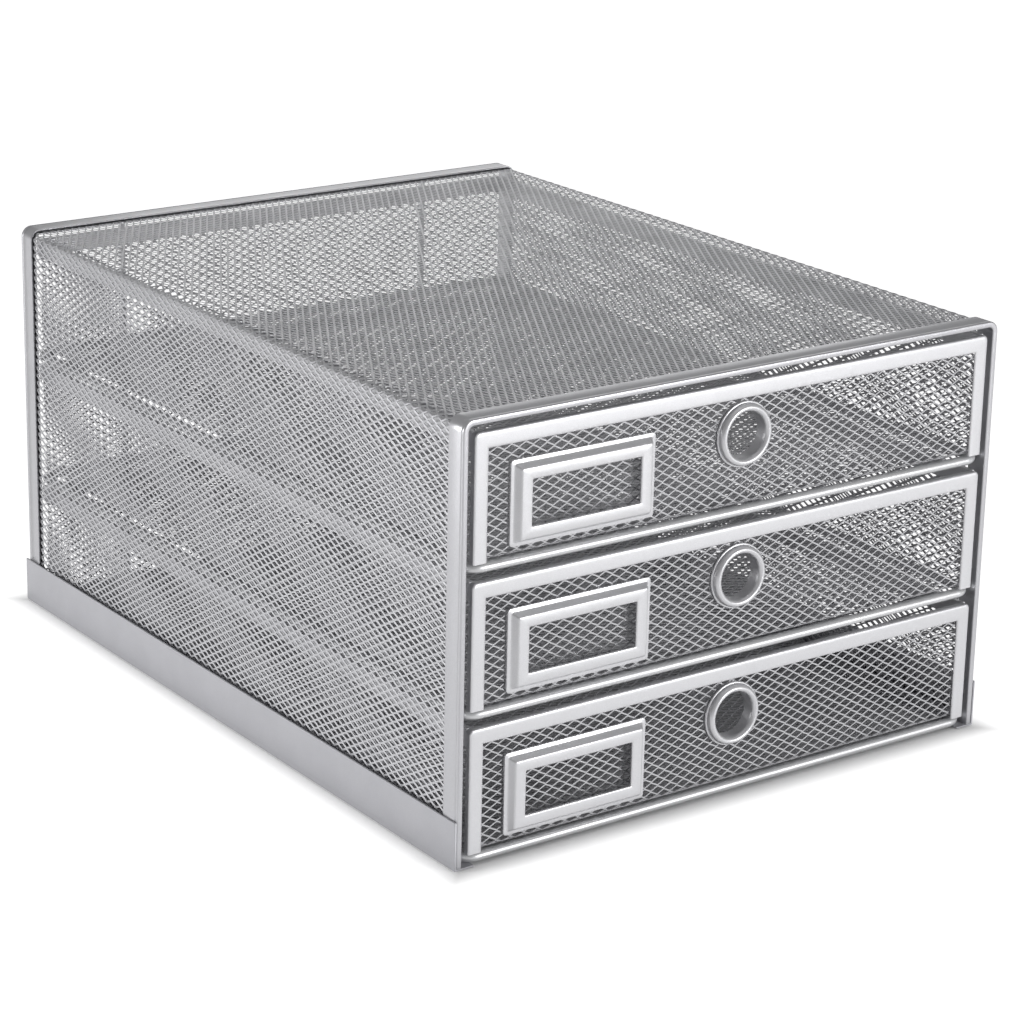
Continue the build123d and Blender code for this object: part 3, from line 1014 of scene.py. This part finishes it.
@dataclass
class Studio:
    """Pale floor, white surroundings, soft lamps and the camera, in metres.

    The camera sees the surroundings as white. The steel mirrors them at the level `sheen`, and
    they light it at the level `fill`. The floor glows white to the camera, but not over a painted
    shadow patch under the cabinet, where it stays dim; the patch has a soft edge.
    """

    camera_place: Point = (-0.70546, -0.99141, 0.48019)
    camera_turn: Point = (72.56841, -0.94023, -34.80037)
    lens: float = 110.12
    shift: tuple[float, float] = (0.04114, -0.07163)
    fill: float = 0.025
    sheen: float = 0.45
    floor_half: float = 7.0
    floor_z: float = -0.0003
    floor_tone: float = 0.5
    floor_seen_tone: float = 0.85
    glow: float = 0.95
    # Painted shadow patch: the floor's glow is off within these half sizes round the cabinet, and comes back over
    # the soft edge width.
    shadow_patch_edge: float = 0.02
    shadow_patch_half: Point = (0.118, 0.158, 0.0)
    lamps: Sequence[Lamp] = (
        Lamp("front_box", (0.85, -1.88, 0.32), (0.0, 0.0, 0.1), 0.55, 20.5),
        Lamp("side_box", (-1.9, 0.5, 0.3), (0.0, 0.0, 0.1), 0.55, 18.4),
        Lamp("top_box", (0.0, -0.2, 1.9), (0.0, 0.0, 0.0), 1.2, 2.6),
        Lamp("rear_box", (1.15, 1.6, 0.75), (0.0, 0.0, 0.15), 1.0, 2.8))

    def build(self) -> None:
        """Builds the whole studio."""
        self.camera()
        self.floor()
        self.surroundings()
        for lamp in self.lamps:
            lamp.hang()

    def camera(self) -> None:
        """Places the camera as the photograph's was."""
        data = bpy.data.cameras.new("camera")
        data.sensor_fit = "HORIZONTAL"
        data.sensor_width = 36.0
        data.lens = self.lens
        data.shift_x, data.shift_y = self.shift
        data.clip_end = 50.0
        item = bpy.data.objects.new("camera", data)
        item.location = self.camera_place
        item.rotation_euler = Euler([math.radians(angle) for angle in self.camera_turn], "XYZ")
        bpy.context.scene.collection.objects.link(item)
        bpy.context.scene.camera = item

    def floor(self) -> None:
        """Lays the pale floor, which looks white but keeps the object's shadow and has a painted shadow patch under
        the cabinet.
        """
        mesh = bpy.data.meshes.new("floor")
        size, z = self.floor_half, self.floor_z
        mesh.from_pydata([(-size, -size, z), (size, -size, z), (size, size, z), (-size, size, z)],
                         [], [(0, 1, 2, 3)])
        item = bpy.data.objects.new("floor", mesh)
        bpy.context.scene.collection.objects.link(item)
        mesh.materials.append(self.floor_material())

    def floor_material(self) -> bpy.types.Material:
        """Builds the floor's material: grey for light that bounces, glowing for the camera and mirrors except over
        a painted shadow patch under the cabinet.

        Returns:
            The new material.
        """
        material = bpy.data.materials.new("pale_floor")
        bench = emptied_bench(material)
        plain, seen = (bench.wired("ShaderNodeBsdfDiffuse", (tone, tone, tone, 1.0)).outputs[0]
                       for tone in (self.floor_tone, self.floor_seen_tone))
        place = bench.add("ShaderNodeTexCoord").outputs["Object"]
        # Painted shadow: the glow fades to nothing over the cabinet's footprint, so the floor stays dim under it.
        outside = bench.vector_calc("SUBTRACT", bench.vector_calc("ABSOLUTE", place), self.shadow_patch_half)
        axes = bench.split(outside)
        away = bench.calc("MAXIMUM", axes["X"], axes["Y"])
        glow = bench.add("ShaderNodeEmission")
        bench.feed(glow.inputs["Strength"],
                   bench.spread(away, (0.0, self.shadow_patch_edge), (0.0, self.glow), "SMOOTHSTEP"))
        both = bench.wired("ShaderNodeAddShader", seen, glow.outputs[0]).outputs[0]
        path = bench.add("ShaderNodeLightPath")
        either = bench.calc("MAXIMUM", path.outputs["Is Camera Ray"], path.outputs["Is Glossy Ray"])
        bench.wired("ShaderNodeOutputMaterial", bench.mix_shader(either, plain, both))
        return material

    def surroundings(self) -> None:
        """Sets a world that is white to the camera, dimmer to mirrors and faint as a light."""
        world = bpy.data.worlds.new("surroundings")
        bench = emptied_bench(world)
        even, sheen, white = (bench.wired("ShaderNodeBackground", (1.0, 1.0, 1.0, 1.0), strength).outputs[0]
                              for strength in (self.fill, self.sheen, 1.0))
        path = bench.add("ShaderNodeLightPath")
        either = bench.calc("MAXIMUM", path.outputs["Is Camera Ray"], path.outputs["Is Transmission Ray"])
        unseen = bench.mix_shader(path.outputs["Is Glossy Ray"], even, sheen)
        bench.wired("ShaderNodeOutputWorld", bench.mix_shader(either, unseen, white))
        bpy.context.scene.world = world


# ---------------------------------------------------------------- the whole cabinet

def main() -> None:
    """Builds the studio, the case and the three drawers."""
    logging.basicConfig(level=logging.INFO, format="%(message)s")
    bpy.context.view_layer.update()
    bpy.context.scene.view_settings.view_transform = "Standard"
    Studio().build()
    palette = Palette()
    works = MeshWorks(palette)
    CaseShell().build(works, palette)
    tray = Drawer(0, LEVELS[0]).tray(works)
    for level, name in enumerate(LEVELS):
        drawer = Drawer(level, name)
        drawer.build(tray, level * drawer.pitch, palette)
    for mesh in tray.values():
        bpy.data.meshes.remove(mesh)


if __name__ == "__main__":
    main()
